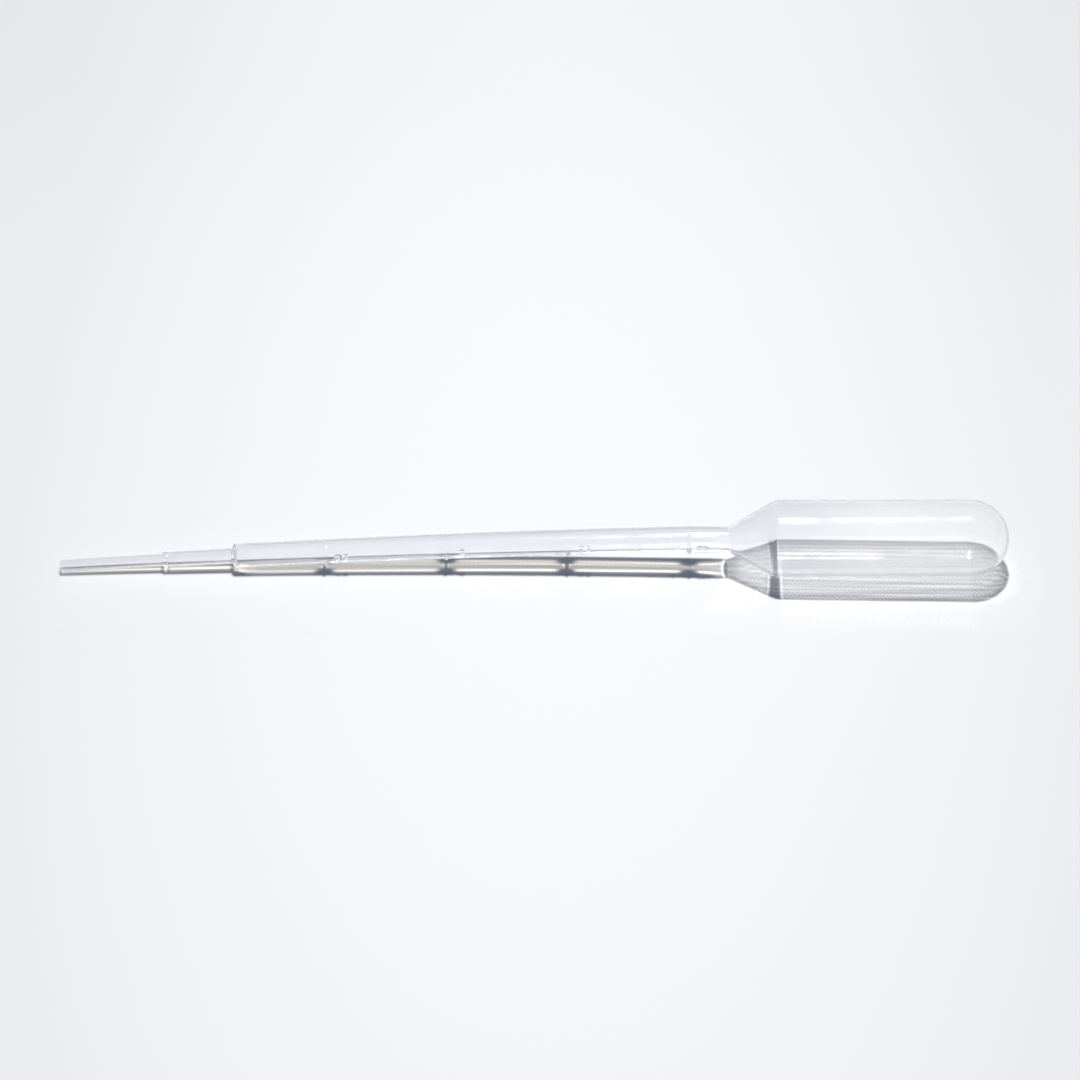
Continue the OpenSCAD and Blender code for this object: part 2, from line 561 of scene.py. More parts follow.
    def inputs(self, axis: bpy.types.Object, material: bpy.types.Material) -> dict[str, object]:
        """Lists the values that the wall's node tree takes.

        Args:
            axis: The curve through the wall's middle.
            material: The wall's finish.

        Returns:
            The values by name, with lengths in metres and angles in radians.
        """
        scale = self.scale
        lengths = {
            "Top Mark": self.axis.top_s,
            "Mark Pitch": scale.pitch,
            "Mark Width": scale.mark_width,
            "Mark Height": scale.mark_height,
            "Band Width": scale.band_width,
            "Band Height": scale.band_height,
            "Stem Radius": self.stem_top_d / 2,
            "Digit Size": scale.digit_size,
            "Digit Height": scale.digit_height,
            "Digit Edge": scale.digit_edge,
            "Lean Up": self.thick_low,
            "Lean Side": self.thick_side,
            "Lean Length": self.dome_s - self.axis.top_s,
            "Bead Place": self.tip_l + self.edge_r + self.bead_w / 2,
            "Bead Width": self.bead_w,
            "Bead Height": self.bead_h,
            "Oval Start": self.nose_s,
            "Oval End": self.cone_s - self.oval_stop,
            "Oval Blend": self.oval_blend,
            **{waves.name: waves.height for waves in self.waves},
        }
        return {
            "Axis": axis,
            "Facets": self.facets,
            "Mark Count": scale.count,
            "Mark Arc": math.radians(scale.arc_deg),
            "Mark End": math.radians(scale.arc_end_deg),
            "Mark Turn": math.radians(180 - scale.turn_deg),
            "Oval": self.oval,
            "Tip Oval": self.tip_oval,
            "Square": self.square,
            "Material": material,
            **{name: length * MM for name, length in lengths.items()},
        }

    def build(self, material: bpy.types.Material) -> bpy.types.Object:
        """Makes the wall as a plain mesh.

        Args:
            material: Its finish.

        Returns:
            The finished piece, at the origin.
        """
        axis = self.axis.build()
        outline = self.outline()
        inputs = self.inputs(axis, material)
        turned = WallTree(self, inputs)
        modifier = outline.modifiers.new("turned_wall", "NODES")
        modifier.node_group = turned.build()
        for name, value in inputs.items():
            modifier[turned.names[name]] = value
        graph = bpy.context.evaluated_depsgraph_get()
        mesh = bpy.data.meshes.new_from_object(outline.evaluated_get(graph), depsgraph=graph)
        bpy.data.objects.remove(outline)
        bpy.data.objects.remove(axis)
        mesh.name = "pipette_wall"
        piece = bpy.data.objects.new("pipette_wall", mesh)
        bpy.context.collection.objects.link(piece)
        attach(piece, "root")
        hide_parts("pipette")
        return piece


@dataclass
class WallTree:
    """The node tree that turns the wall's outline round its axis and raises the scale on it.

    It works on a grid that has a row of points for each ring, and each method works out one part of
    where the points go.
    """

    wall: Wall
    inputs: dict[str, object]
    tree: bpy.types.GeometryNodeTree = field(init=False)
    names: dict[str, str] = field(init=False)
    given: bpy.types.NodeOutputs = field(init=False)
    turn: bpy.types.Node = field(init=False)
    cosine: bpy.types.Node = field(init=False)
    sine: bpy.types.Node = field(init=False)
    below: bpy.types.Node = field(init=False)
    read: dict[str, bpy.types.Node] = field(default_factory=dict)

    def __post_init__(self) -> None:
        """Starts the tree, with a named input for each value."""
        kinds = {
            bpy.types.Object: "NodeSocketObject",
            bpy.types.Material: "NodeSocketMaterial",
            int: "NodeSocketInt",
            float: "NodeSocketFloat",
        }
        self.tree = bpy.data.node_groups.new("turned_wall", "GeometryNodeTree")
        sockets = self.tree.interface
        for way in ("OUTPUT", "INPUT"):
            sockets.new_socket("Geometry", in_out=way, socket_type="NodeSocketGeometry")
        self.names = {
            name: sockets.new_socket(name, in_out="INPUT", socket_type=kinds[type(value)]).identifier
            for name, value in self.inputs.items()
        }
        self.given = add_node(self.tree, "NodeGroupInput").outputs

    def lay_grid(self) -> bpy.types.Node:
        """Lays the grid out, and finds each point's turn round the axis and its ring's sizes.

        Returns:
            The grid.
        """
        tree, given = self.tree, self.given
        line = {"Geometry": given["Geometry"]}
        rings = add_node(tree, "GeometryNodeAttributeDomainSize", line, component="MESH")
        around = add_node(tree, MATH, (given["Facets"], 1.0), operation="ADD")
        rows = {"Vertices X": rings.outputs["Point Count"], "Vertices Y": around}
        grid = add_node(tree, "GeometryNodeMeshGrid", rows)
        index = add_node(tree, "GeometryNodeInputIndex")
        share = add_node(tree, MATH, (index, around), operation="DIVIDE")
        # Without this nudge a whole number could come out a hair too low, and be counted as the one below.
        nudged = add_node(tree, MATH, (share, 0.001), operation="ADD")
        ring = add_node(tree, MATH, (nudged,), operation="FLOOR")
        first = add_node(tree, MATH, (ring, around), operation="MULTIPLY")
        place = add_node(tree, MATH, (index, first), operation="SUBTRACT")
        part = add_node(tree, MATH, (place, given["Facets"]), operation="DIVIDE")
        self.turn = add_node(tree, MATH, (part, math.tau), operation="MULTIPLY")
        self.cosine = add_node(tree, MATH, (self.turn,), operation="COSINE")
        self.sine = add_node(tree, MATH, (self.turn,), operation="SINE")
        for name in ("s", "radius", "inside"):
            value = add_node(tree, "GeometryNodeInputNamedAttribute", {"Name": name}, data_type="FLOAT")
            from_line = {**line, "Value": value.outputs["Attribute"], "Index": ring}
            types = {"data_type": "FLOAT", "domain": "POINT"}
            self.read[name] = add_node(tree, "GeometryNodeSampleIndex", from_line, **types)
        self.below = add_node(tree, MATH, (given["Top Mark"], self.read["s"]), operation="SUBTRACT")
        return grid

    def raise_scale(self) -> bpy.types.Node:
        """Raises the marks, their bands, the numbers and the bead at the nose's end.

        Returns:
            How far each point rises.
        """
        tree, given, s = self.tree, self.given, self.read["s"]

        # The nearest mark, and how far along from it each point is.
        pitches = add_node(tree, MATH, (self.below, given["Mark Pitch"]), operation="DIVIDE")
        nearest = add_node(tree, MATH, (pitches,), operation="ROUND")
        not_above = add_node(tree, MATH, (nearest, 0.0), operation="MAXIMUM")
        last = add_node(tree, MATH, (given["Mark Count"], 1.0), operation="SUBTRACT")
        counted = add_node(tree, MATH, (not_above, last), operation="MINIMUM")
        drop = add_node(tree, MATH, (counted, given["Mark Pitch"]), operation="MULTIPLY")
        mark_s = add_node(tree, MATH, (given["Top Mark"], drop), operation="SUBTRACT")
        along = add_node(tree, MATH, (s, mark_s), operation="SUBTRACT")
        from_bead = add_node(tree, MATH, (s, given["Bead Place"]), operation="SUBTRACT")

        # A mark runs only part of the way round, and falls off over a few degrees at its ends.
        from_middle = add_node(tree, MATH, (self.turn, given["Mark Turn"]), operation="SUBTRACT")
        wide = add_node(tree, MATH, (from_middle,), operation="ABSOLUTE")
        half_arc = add_node(tree, MATH, (given["Mark Arc"], 0.5), operation="MULTIPLY")
        near_end = add_node(tree, MATH, (half_arc, given["Mark End"]), operation="SUBTRACT")
        ends = {"Value": wide, "From Min": near_end, "From Max": half_arc, "To Min": 1.0, "To Max": 0.0}
        window = add_node(tree, RANGE, ends, interpolation_type="SMOOTHSTEP")

        # Across its width each is a bell: one less the squared share of half the width, to the power 1.5.
        rises = {}
        for name, offset in (("Mark", along), ("Band", along), ("Bead", from_bead)):
            halves = add_node(tree, MATH, (offset, given[f"{name} Width"]), operation="DIVIDE")
            doubled = add_node(tree, MATH, (halves, 2.0), operation="MULTIPLY")
            squared = add_node(tree, MATH, (doubled, 2.0), operation="POWER")
            left = add_node(tree, MATH, (1.0, squared), operation="SUBTRACT", use_clamp=True)
            bell = add_node(tree, MATH, (left, 1.5), operation="POWER")
            if name == "Mark":
                bell = add_node(tree, MATH, (bell, window), operation="MULTIPLY")
            rises[name] = add_node(tree, MATH, (bell, given[f"{name} Height"]), operation="MULTIPLY")

        # Only the bands show on the inner face as well.
        outside = add_node(tree, MATH, (1.0, self.read["inside"]), operation="SUBTRACT")
        raised = add_node(tree, MATH, (rises["Mark"], self.raise_numbers(from_middle)), operation="ADD")
        raised = add_node(tree, MATH, (raised, rises["Bead"]), operation="ADD")
        raised = add_node(tree, MATH, (raised, outside), operation="MULTIPLY")
        return add_node(tree, MATH, (raised, rises["Band"]), operation="ADD")

    def raise_numbers(self, from_middle: bpy.types.Node) -> bpy.types.Node:
        """Lays the numbers out flat, and raises the unrolled wall where it is on or near one.

        Args:
            from_middle: How far round from the marks' middle each point is.

        Returns:
            How far each point rises.
        """
        tree, given, scale = self.tree, self.given, self.wall.scale
        marks = scale.marks(self.wall.axis.top_s)
        joined = add_node(tree, "GeometryNodeJoinGeometry")
        for label in scale.labels:
            text = {"String": label.text, "Size": given["Digit Size"]}
            middle = {"align_x": "CENTER", "align_y": "MIDDLE"}
            letters = add_node(tree, "GeometryNodeStringToCurves", text, **middle)
            place = ((marks[label.mark] + label.shift) * MM, 0.0, 0.0)
            row = {"Geometry": letters.outputs["Curve Instances"], "Translation": place}
            tree.links.new(add_node(tree, "GeometryNodeTransform", row).outputs[0], joined.inputs[0])
        lines = add_node(tree, "GeometryNodeRealizeInstances", {"Geometry": joined})
        filled = add_node(tree, "GeometryNodeFillCurve", {"Curve": lines}, mode="TRIANGLES")
        face_down = add_node(tree, MATH, (from_middle, given["Stem Radius"]), operation="MULTIPLY")
        face_up = add_node(tree, MATH, (face_down, -1.0), operation="MULTIPLY")
        flat = add_node(tree, "ShaderNodeCombineXYZ", {"X": self.read["s"], "Y": face_up})
        sample = {0: filled, "Sample Position": flat}
        near = add_node(tree, "GeometryNodeProximity", sample, target_element="FACES")
        edge = {
            "Value": near.outputs["Distance"],
            "From Min": 0.0,
            "From Max": given["Digit Edge"],
            "To Min": given["Digit Height"],
            "To Max": 0.0,
        }
        return add_node(tree, RANGE, edge, interpolation_type="SMOOTHSTEP")

    def add_waves(self, relief: bpy.types.Node) -> bpy.types.Node:
        """Adds the waves that the die and blowing leave.

        They were drawn on the narrow tube that the bulb was blown from, so they are wider and lower
        there.

        Args:
            relief: How far each point is raised so far.

        Returns:
            How far each point is raised with them.
        """
        tree, read, wall = self.tree, self.read, self.wall
        share = add_node(tree, MATH, (read["radius"], self.given["Stem Radius"]), operation="DIVIDE")
        growth = add_node(tree, MATH, (share, 0.5), operation="POWER")
        grown = add_node(tree, MATH, (growth, wall.stem_top_d / 2), operation="MULTIPLY")
        for waves in wall.waves:
            spread = add_node(tree, MATH, (grown, waves.rate), operation="MULTIPLY")
            x = add_node(tree, MATH, (self.cosine, spread), operation="MULTIPLY")
            y = add_node(tree, MATH, (self.sine, spread), operation="MULTIPLY")
            lengthwise = waves.rate / waves.stretch / MM
            z = add_node(tree, MATH, (read["s"], lengthwise, waves.seed), operation="MULTIPLY_ADD")
            place = add_node(tree, "ShaderNodeCombineXYZ", (x, y, z))
            pattern = {"Vector": place, "Scale": 1.0, "Detail": 1.0, "Roughness": 0.5}
            level = add_node(tree, MATH, (add_node(tree, NOISE, pattern), 0.5), operation="SUBTRACT")
            height = add_node(tree, MATH, (self.given[waves.name], growth), operation="DIVIDE")
            wave = add_node(tree, MATH, (level, height), operation="MULTIPLY")
            if waves.inner_only:
                wave = add_node(tree, MATH, (wave, read["inside"]), operation="MULTIPLY")
            relief = add_node(tree, MATH, (relief, wave), operation="ADD")
        return relief

    def shape_bore(self, relief: bpy.types.Node) -> bpy.types.Node:
        """Makes the bore of the tip, the nose and the stem an oval, a little squared off.

        The tube that they were blown from was thicker where the mould parts, above and below.

        Args:
            relief: How far each point is raised so far.

        Returns:
            Each point's finished distance from the axis.
        """
        tree, given, read = self.tree, self.given, self.read
        twice = add_node(tree, MATH, (self.turn, 2.0), operation="MULTIPLY")
        fourfold = add_node(tree, MATH, (self.turn, 4.0), operation="MULTIPLY")
        two_lobes = add_node(tree, MATH, (twice,), operation="COSINE")
        four_lobes = add_node(tree, MATH, (fourfold,), operation="COSINE")
        squared_off = add_node(tree, MATH, (four_lobes, given["Square"]), operation="MULTIPLY")
        start = add_node(tree, MATH, (given["Oval Start"], given["Oval Blend"]), operation="ADD")
        from_nose = {
            "Value": read["s"],
            "From Min": given["Oval Start"],
            "From Max": start,
            "To Min": given["Tip Oval"],
            "To Max": given["Oval"],
        }
        oval = add_node(tree, RANGE, from_nose, interpolation_type="SMOOTHSTEP")
        lobes = add_node(tree, MATH, (two_lobes, oval, squared_off), operation="MULTIPLY_ADD")
        end = add_node(tree, MATH, (given["Oval End"], given["Oval Blend"]), operation="ADD")
        to_cone = {
            "Value": read["s"],
            "From Min": given["Oval End"],
            "From Max": end,
            "To Min": 1.0,
            "To Max": 0.0,
        }
        left = add_node(tree, RANGE, to_cone, interpolation_type="SMOOTHSTEP")
        inner = add_node(tree, MATH, (left, read["inside"]), operation="MULTIPLY")
        reach = add_node(tree, MATH, (inner, read["radius"]), operation="MULTIPLY")
        relief = add_node(tree, MATH, (lobes, reach, relief), operation="MULTIPLY_ADD")

        # At the round end all this dies out with the radius, so that the pole stays one point.
        near_pole = (read["radius"], 1 / (self.wall.pole_r * MM))
        shallow = add_node(tree, MATH, near_pole, operation="MULTIPLY", use_clamp=True)
        relief = add_node(tree, MATH, (relief, shallow), operation="MULTIPLY")
        return add_node(tree, MATH, (read["radius"], relief), operation="ADD")

    def place(self, radius: bpy.types.Node) -> bpy.types.Node:
        """Stands each ring square to the axis.

        The inner face leans off the bulb's axis, which makes the wall thicker underneath.

        Args:
            radius: Each point's distance from the axis.

        Returns:
            Where each point goes.
        """
        tree, given, read = self.tree, self.given, self.read
        axis = {"Object": given["Axis"]}
        line = add_node(tree, "GeometryNodeObjectInfo", axis, transform_space="ORIGINAL")
        along = {"Curves": line.outputs["Geometry"], "Length": read["s"]}
        at = add_node(tree, "GeometryNodeSampleCurve", along, mode="LENGTH").outputs
        cross = add_node(tree, VECTOR, ((0.0, 0.0, 1.0), at["Tangent"]), operation="CROSS_PRODUCT")
        side = add_node(tree, VECTOR, (cross,), operation="NORMALIZE")
        up = add_node(tree, VECTOR, (at["Tangent"], side), operation="CROSS_PRODUCT")
        above = add_node(tree, MATH, (self.below, -1.0), operation="MULTIPLY")
        leaning = add_node(tree, MATH, (above, given["Lean Length"]), operation="DIVIDE")
        in_bulb = add_node(tree, MATH, (leaning, 0.0), operation="MAXIMUM")
        lean = add_node(tree, MATH, (in_bulb, read["inside"]), operation="MULTIPLY")
        moves = []
        for way, part, most in ((side, self.cosine, "Lean Side"), (up, self.sine, "Lean Up")):
            out = add_node(tree, MATH, (radius, part), operation="MULTIPLY")
            leant = add_node(tree, MATH, (lean, given[most], out), operation="MULTIPLY_ADD")
            moves.append(add_node(tree, VECTOR, {0: way, "Scale": leant}, operation="SCALE"))
        off = add_node(tree, VECTOR, tuple(moves), operation="ADD")
        return add_node(tree, VECTOR, (at["Position"], off), operation="ADD")

    def build(self) -> bpy.types.GeometryNodeTree:
        """Joins the parts up, from the grid to the finished wall.

        Returns:
            The tree.
        """
        tree = self.tree
        grid = self.lay_grid()
        relief = self.add_waves(self.raise_scale())
        places = {"Geometry": grid, "Position": self.place(self.shape_bore(relief))}
        turned = add_node(tree, "GeometryNodeSetPosition", places)
        seams = {"Geometry": turned, "Distance": self.wall.merge_gap * MM}
        closed = add_node(tree, "GeometryNodeMergeByDistance", seams)
        smooth = add_node(tree, "GeometryNodeSetShadeSmooth", {"Geometry": closed, "Shade Smooth": True})
        real = add_node(tree, "GeometryNodeRealizeInstances", {"Geometry": smooth})
        finish = {"Geometry": real, "Material": self.given["Material"]}
        dressed = add_node(tree, "GeometryNodeSetMaterial", finish)
        add_node(tree, "NodeGroupOutput", {"Geometry": dressed})
        return tree


@dataclass(frozen=True)
class BlownPolyethylene:
    """Low-density polyethylene, extruded as a tube and blown against a polished mould.

    It is clear and glossy, a little soft in its reflections, with faint lines drawn along it.
    """

    thin_colour: str = "#FEFEFE"
    thick_colour: str = "#F6F7F9"
    thick_end: float = 40.0
    thin_start: float = 58.0
    ior: float = 1.51
    roughness_low: float = 0.05
    roughness_high: float = 0.11
    cloud_size: float = 3.0
    cloud_low: float = 0.3
    cloud_high: float = 0.7
    grain_size: float = 0.45
    grain_height: float = 0.0004
    line_size: float = 0.7
    line_stretch: float = 26.0
    line_height: float = 0.0012

    def build(self) -> bpy.types.Material:
        """Makes the material.

        Returns:
            The material.
        """
        material = bpy.data.materials.new("blown_clear_polyethylene")
        material.use_nodes = True
        tree = material.node_tree
        tree.nodes.clear()
        place = add_node(tree, "ShaderNodeTexCoord").outputs["Object"]

        # Thick parts cool slowly, which leaves them a little milky.
        along = add_node(tree, "ShaderNodeSeparateXYZ", (place,)).outputs["X"]
        to_bulb = {"Value": along, "From Min": self.thick_end * MM, "From Max": self.thin_start * MM}
        thin = add_node(tree, RANGE, to_bulb, interpolation_type="SMOOTHSTEP")
        shades = {"Factor": thin, 6: linear(self.thick_colour), 7: linear(self.thin_colour)}
        colour = add_node(tree, "ShaderNodeMix", shades, data_type="RGBA").outputs[2]

        # The gloss changes in soft patches, as the mould's polish does.
        clouds = {"Vector": place, "Scale": 1 / (self.cloud_size * MM), "Detail": 2.0}
        polish = {
            "Value": add_node(tree, NOISE, clouds),
            "From Min": self.cloud_low,
            "From Max": self.cloud_high,
            "To Min": self.roughness_low,
            "To Max": self.roughness_high,
        }
        roughness = add_node(tree, RANGE, polish)

        # Fine orange peel from the mould, and the longer lines that the die draws along the tube.
        fine = {"Vector": place, "Scale": 1 / (self.grain_size * MM), "Detail": 1.0}
        grain = add_node(tree, NOISE, fine)
        drawn = add_node(tree, VECTOR, (place, (1 / self.line_stretch, 1.0, 1.0)), operation="MULTIPLY")
        long = {"Vector": drawn, "Scale": 1 / (self.line_size * MM), "Detail": 1.0}
        lines = add_node(tree, NOISE, long)
        peel = {"Distance": self.grain_height * MM, "Height": grain}
        peeled = add_node(tree, "ShaderNodeBump", peel)
        die = {"Distance": self.line_height * MM, "Height": lines, "Normal": peeled}
        normal = add_node(tree, "ShaderNodeBump", die)
        plastic = {
            "Base Color": colour,
            "Transmission Weight": 1.0,
            "Roughness": roughness,
            "IOR": self.ior,
            "Normal": normal,
        }
        surface = add_node(tree, "ShaderNodeBsdfPrincipled", plastic)
        add_node(tree, "ShaderNodeOutputMaterial", {"Surface": surface})
        return material


@dataclass(frozen=True)
class WhiteBoard:
    """Matt white laminate board that the pipette lies on: pale, faintly cool and soft to the eye.

    Its colour carries painted light falloff: palest in front of the pipette, and darker by a few
    hundredths to the back and to the sides.
    """

    colour: str = "#F4F6F8"
    lamp_share: Triple = (0.907, 0.887, 0.853)
    # How strongly the board glows for bounced rays, a painted stand-in for its lamplight.
    glow: float = 1.0
    fade_start: float = 150.0
    fade_end: float = 450.0
    front: float = -107.0
    back: float = 116.0
    front_light: float = 1.05
    back_light: float = 0.95
    side: float = 85.0
    side_light: float = 0.92

    def build(self) -> bpy.types.Material:
        """Makes the material.

        Returns:
            The material.
        """
        material = bpy.data.materials.new("matt_white_board")
        material.use_nodes = True
        tree = material.node_tree
        tree.nodes.clear()
        # Painted shadow and painted light: the lamp's traced shadow and the light bent through the wall
        # scale the board's colour.
        change = add_node(tree, "ShaderNodeAttribute", attribute_name="lamp_change").outputs["Vector"]
        lit = add_node(tree, VECTOR, (change, self.lamp_share, (1.0, 1.0, 1.0)), operation="MULTIPLY_ADD")

        # Painted light falloff: the colour is scaled down to the back and to the sides.
        place = add_node(tree, "ShaderNodeTexCoord").outputs["Object"]
        along = add_node(tree, "ShaderNodeSeparateXYZ", (place,)).outputs
        depth = {
            "Value": along["Y"],
            "From Min": self.front * MM,
            "From Max": self.back * MM,
            "To Min": self.front_light,
            "To Max": self.back_light,
        }
        aside = add_node(tree, MATH, (along["X"], along["X"]), operation="MULTIPLY")
        most = (self.side * MM) ** 2
        width = {"Value": aside, "From Max": most, "To Min": 1.0, "To Max": self.side_light}
        shares = (add_node(tree, RANGE, depth), add_node(tree, RANGE, width))
        painted_falloff = add_node(tree, MATH, shares, operation="MULTIPLY")
        colour_with_falloff = add_node(tree, VECTOR, {0: lit, "Scale": painted_falloff}, operation="SCALE")
        colour = add_node(tree, VECTOR, (colour_with_falloff, linear(self.colour)[:3]), operation="MULTIPLY")
        matt = add_node(tree, "ShaderNodeBsdfDiffuse", {"Color": colour})

        # Painted light: rays that leave the board and come back to it off the wall see the board glow at a
        # known brightness, its colour, in place of its lamplight.
        path = add_node(tree, "ShaderNodeLightPath").outputs
        again = add_node(tree, MATH, (path["Diffuse Depth"], 0.5), operation="GREATER_THAN")
        glow = add_node(tree, "ShaderNodeEmission", {"Color": colour, "Strength": self.glow})
        board = add_node(tree, "ShaderNodeMixShader", (again, matt, glow))

        # Far off it runs into the studio's white, so that low views have no dark horizon.
        distance = add_node(tree, VECTOR, (place,), operation="LENGTH").outputs["Value"]
        away = {"Value": distance, "From Min": self.fade_start * MM, "From Max": self.fade_end * MM}
        far = add_node(tree, RANGE, away, interpolation_type="SMOOTHSTEP")
        seen_far = add_node(tree, MATH, (far, path["Is Camera Ray"]), operation="MULTIPLY")
        white = {"Color": linear(STUDIO_WHITE), "Strength": STUDIO_STRENGTH}
        backdrop = add_node(tree, "ShaderNodeEmission", white)
        surface = add_node(tree, "ShaderNodeMixShader", (seen_far, board, backdrop))
        add_node(tree, "ShaderNodeOutputMaterial", {"Surface": surface})
        return material


@dataclass(frozen=True)
class Unevenness:
    """Fine waves of a face, added up: how many, how steep, and the range of their lengths in mm.

    Along says how much of each one's direction is kept along the pipette.
    """

    count: int
    slope: float
    sizes: Pair
    along: float


@dataclass
class LampPattern:
    """Where the lamp's light falls on the board, past the pipette and bent through its clear wall.

    A lamp this small is hardly ever met by a path that leaves the board through four faces of
    plastic, so the light is followed the other way, from the lamp, on a fixed grid of rays. Each
    patch of the grid lands as a patch on the board, brighter where it is squeezed. What lands is
    kept as an attribute of the board's mesh, and the board's colour is scaled by it: the wall's
    shadow and the light bent through it are painted onto the board.
    """

    lamp: Triple
    ior: float
    rings: list[ThickRing]

    # The grid of rays, and how far it runs on past the wall at its low and high ends.
    along: float = 0.12
    across: float = 0.04
    room_low: Pair = (1.5, 4.0)
    room_high: Pair = (2.5, 1.5)
    room_above: float = 2.0

    # The board's cells, and how far light is blurred on them, in cells.
    cell: float = 0.11
    low: Pair = (-84.0, -16.0)
    high: Pair = (86.0, 12.0)
    soft: float = 1.2
    wide_soft: float = 5.0
    fade: float = 50.0
    patch_parts: int = 4
    patch_width: float = 1.2

    # What the plastic does: how it splits colours, how uneven its faces are, and how cloudy it is.
    ior_steps: Triple = (-0.004, 0.0, 0.006)
    seed: int = 11
    uneven: tuple[Unevenness, ...] = (
        Unevenness(count=20, slope=0.0035, sizes=(0.28, 0.6), along=1.0),
        Unevenness(count=8, slope=0.0025, sizes=(0.5, 1.8), along=0.04),
    )
    clear_length: Triple = (38.5, 34.5, 29.8)
    haze_spread: float = 32.0
    haze_share: float = 0.4
    stem_end: float = 27.0
    stem_fade: float = 8.0
    stem_cloud: float = 18.0

    # Where a ray is given up, how far past a face it starts again, and what counts as grazing a face.
    most_turns: int = 12
    least_light: float = 0.004
    lift: float = 0.001
    graze: float = 1e-4
    tiny: float = 1e-5
    least_area: float = 1e-18

    points: np.ndarray = field(init=False)
    normals: np.ndarray = field(init=False)
    corners: np.ndarray = field(init=False)
    flat: np.ndarray = field(init=False)
    tree: BVHTree = field(init=False)

    @staticmethod
    def unit(ways: np.ndarray) -> np.ndarray:
        """Gives directions a length of 1."""
        return ways / np.linalg.norm(ways, axis=1)[:, None]

    def rough(self, places: np.ndarray, normals: np.ndarray) -> np.ndarray:
        """Tilts normals a little, as the fine orange peel of the wall does.

        Args:
            places: Points on the wall.
            normals: The smooth unit normals there.

        Returns:
            Unit normals.
        """
        draw = np.random.default_rng(self.seed)
        tilt = np.zeros_like(places)
        for waves in self.uneven:
            ways = draw.normal(size=(waves.count, 3))
            ways[:, 0] *= waves.along
            ways = self.unit(ways)
            lengths = draw.uniform(*waves.sizes, waves.count)
            phases = draw.uniform(0, math.tau, waves.count)
            for way, length, phase in zip(ways, lengths, phases):
                turn = places @ way * (math.tau / length) + phase
                tilt += np.cos(turn)[:, None] * way * waves.slope * math.sqrt(2 / waves.count)
        return self.unit(normals + tilt - (tilt * normals).sum(1)[:, None] * normals)

    def cloud(self, x: np.ndarray) -> np.ndarray:
        """Gives how cloudy the plastic is: least in the bulb, where it is thin.

        Args:
            x: Places along the pipette, in mm.

        Returns:
            Cloudiness, 1 in the bulb.
        """
        return 1 + (self.stem_cloud - 1) * np.clip((self.stem_end - x) / self.stem_fade + 1, 0, 1)

    def left_by_rings(self, places: np.ndarray, gaps: np.ndarray) -> np.ndarray:
        """Gives the share of light that passes the thick rings.

        Args:
            places: Where the light meets the wall, in mm.
            gaps: How far it has come through plastic, in mm.

        Returns:
            Shares, 1 away from the rings.
        """
        return np.exp(-gaps * sum(ring.thickness(places) for ring in self.rings))

    def read(self, mesh: bpy.types.Mesh) -> None:
        """Takes in the wall's triangles and its smooth normals, in mm.

        Args:
            mesh: The finished wall.
        """
        count = len(mesh.vertices)
        points = np.empty(count * 3)
        mesh.vertices.foreach_get("co", points)
        self.points = points.reshape(-1, 3) / MM
        normals = np.empty(count * 3, dtype=np.float32)
        mesh.vertex_normals.foreach_get("vector", normals)
        self.normals = normals.reshape(-1, 3).astype(float)
        mesh.calc_loop_triangles()
        corners = np.empty(len(mesh.loop_triangles) * 3, dtype=np.int32)
        mesh.loop_triangles.foreach_get("vertices", corners)
        self.corners = corners.reshape(-1, 3)
        a, b, c = (self.points[self.corners[:, k]] for k in range(3))
        self.flat = self.unit(np.cross(b - a, c - a))
        self.tree = BVHTree.FromPolygons(self.points.tolist(), self.corners.tolist())

    def cast(self, starts: np.ndarray, ways: np.ndarray) -> tuple[np.ndarray, np.ndarray]:
        """Finds the face that each ray meets first.

        Args:
            starts: Where the rays start, in mm.
            ways: Their unit directions.

        Returns:
            Face numbers, -1 where there is none, and distances.
        """
        cast = self.tree.ray_cast
        found = [cast(start, way)[2:] for start, way in zip(starts.tolist(), ways.tolist())]
        faces = np.array([-1 if face is None else face for face, _ in found])
        gaps = np.array([np.inf if gap is None else gap for _, gap in found])
        return faces, gaps

    def smooth(self, faces: np.ndarray, places: np.ndarray) -> np.ndarray:
        """Blends the corner normals of faces at places on them.

        Args:
            faces: Face numbers.
            places: Points on those faces.

        Returns:
            Unit normals.
        """
        a, b, c = (self.points[self.corners[faces, k]] for k in range(3))
        one, two, out = b - a, c - a, places - a
        aa, ab, bb = (one * one).sum(1), (one * two).sum(1), (two * two).sum(1)
        pa, pb = (out * one).sum(1), (out * two).sum(1)
        whole = np.maximum(aa * bb - ab * ab, self.least_area)
        v = np.clip((bb * pa - ab * pb) / whole, 0, 1)[:, None]
        w = np.clip((aa * pb - ab * pa) / whole, 0, 1)[:, None]
        corner = [self.normals[self.corners[faces, k]] for k in range(3)]
        return self.rough(places, self.unit(corner[0] * (1 - v - w) + corner[1] * v + corner[2] * w))

